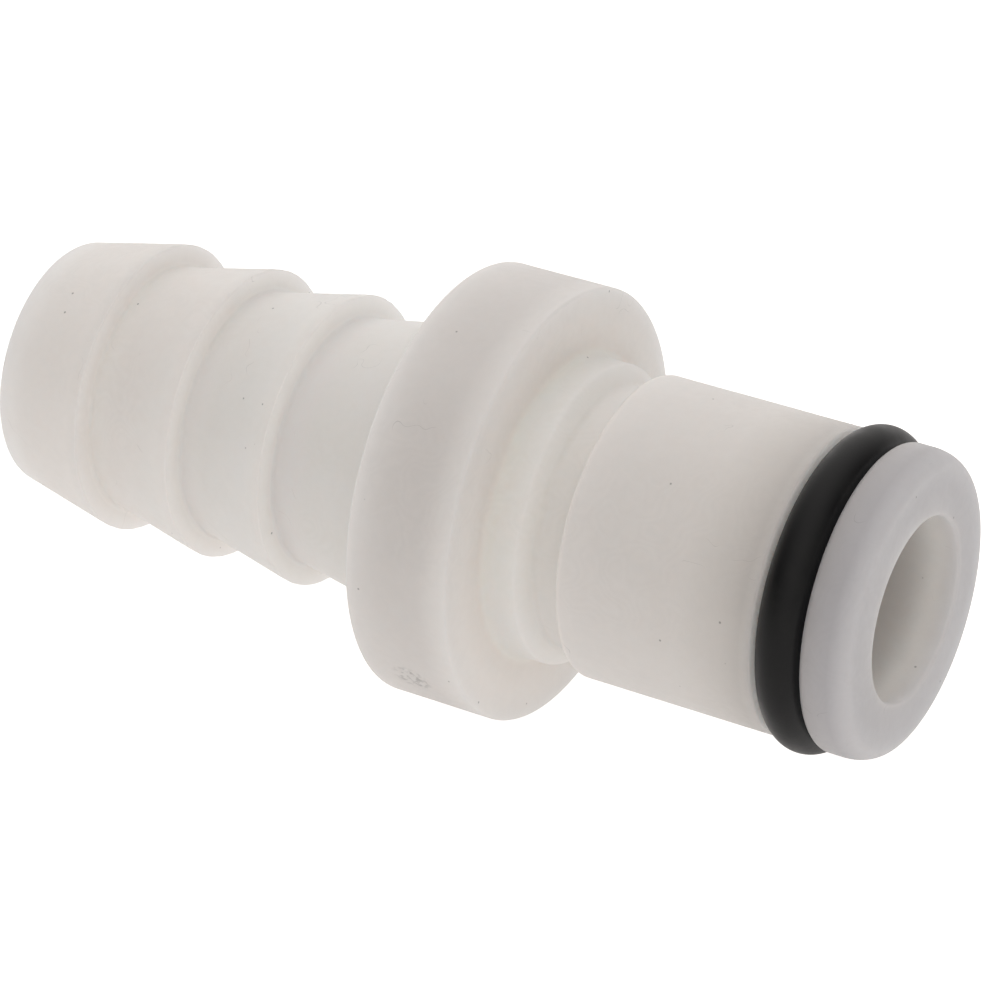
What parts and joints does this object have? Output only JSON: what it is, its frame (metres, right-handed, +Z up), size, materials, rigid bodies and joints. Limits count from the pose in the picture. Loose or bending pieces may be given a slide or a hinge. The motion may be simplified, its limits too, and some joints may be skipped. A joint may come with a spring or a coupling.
{
  "type": "quick-disconnect coupling insert",
  "caption": "Plastic in-line coupling insert with a hose barb, a round collar, a latch groove and a sealing barrel with a rubber O-ring.",
  "frame": {"origin": "on the flow axis, halfway between the barb's end face and the nose face", "axes": "+X along the flow axis, from the hose barb towards the nose; +Z up with the axis level"},
  "size_m": [0.0366, 0.0164, 0.0164],
  "materials": {
    "natural_polypropylene": "milky, slightly translucent, satin as moulded",
    "black_rubber": "smooth, satin"
  },
  "bodies": {
    "root": {"insert_body": "natural_polypropylene", "barrel_o_ring": "black_rubber"}
  },
  "joints": []
}
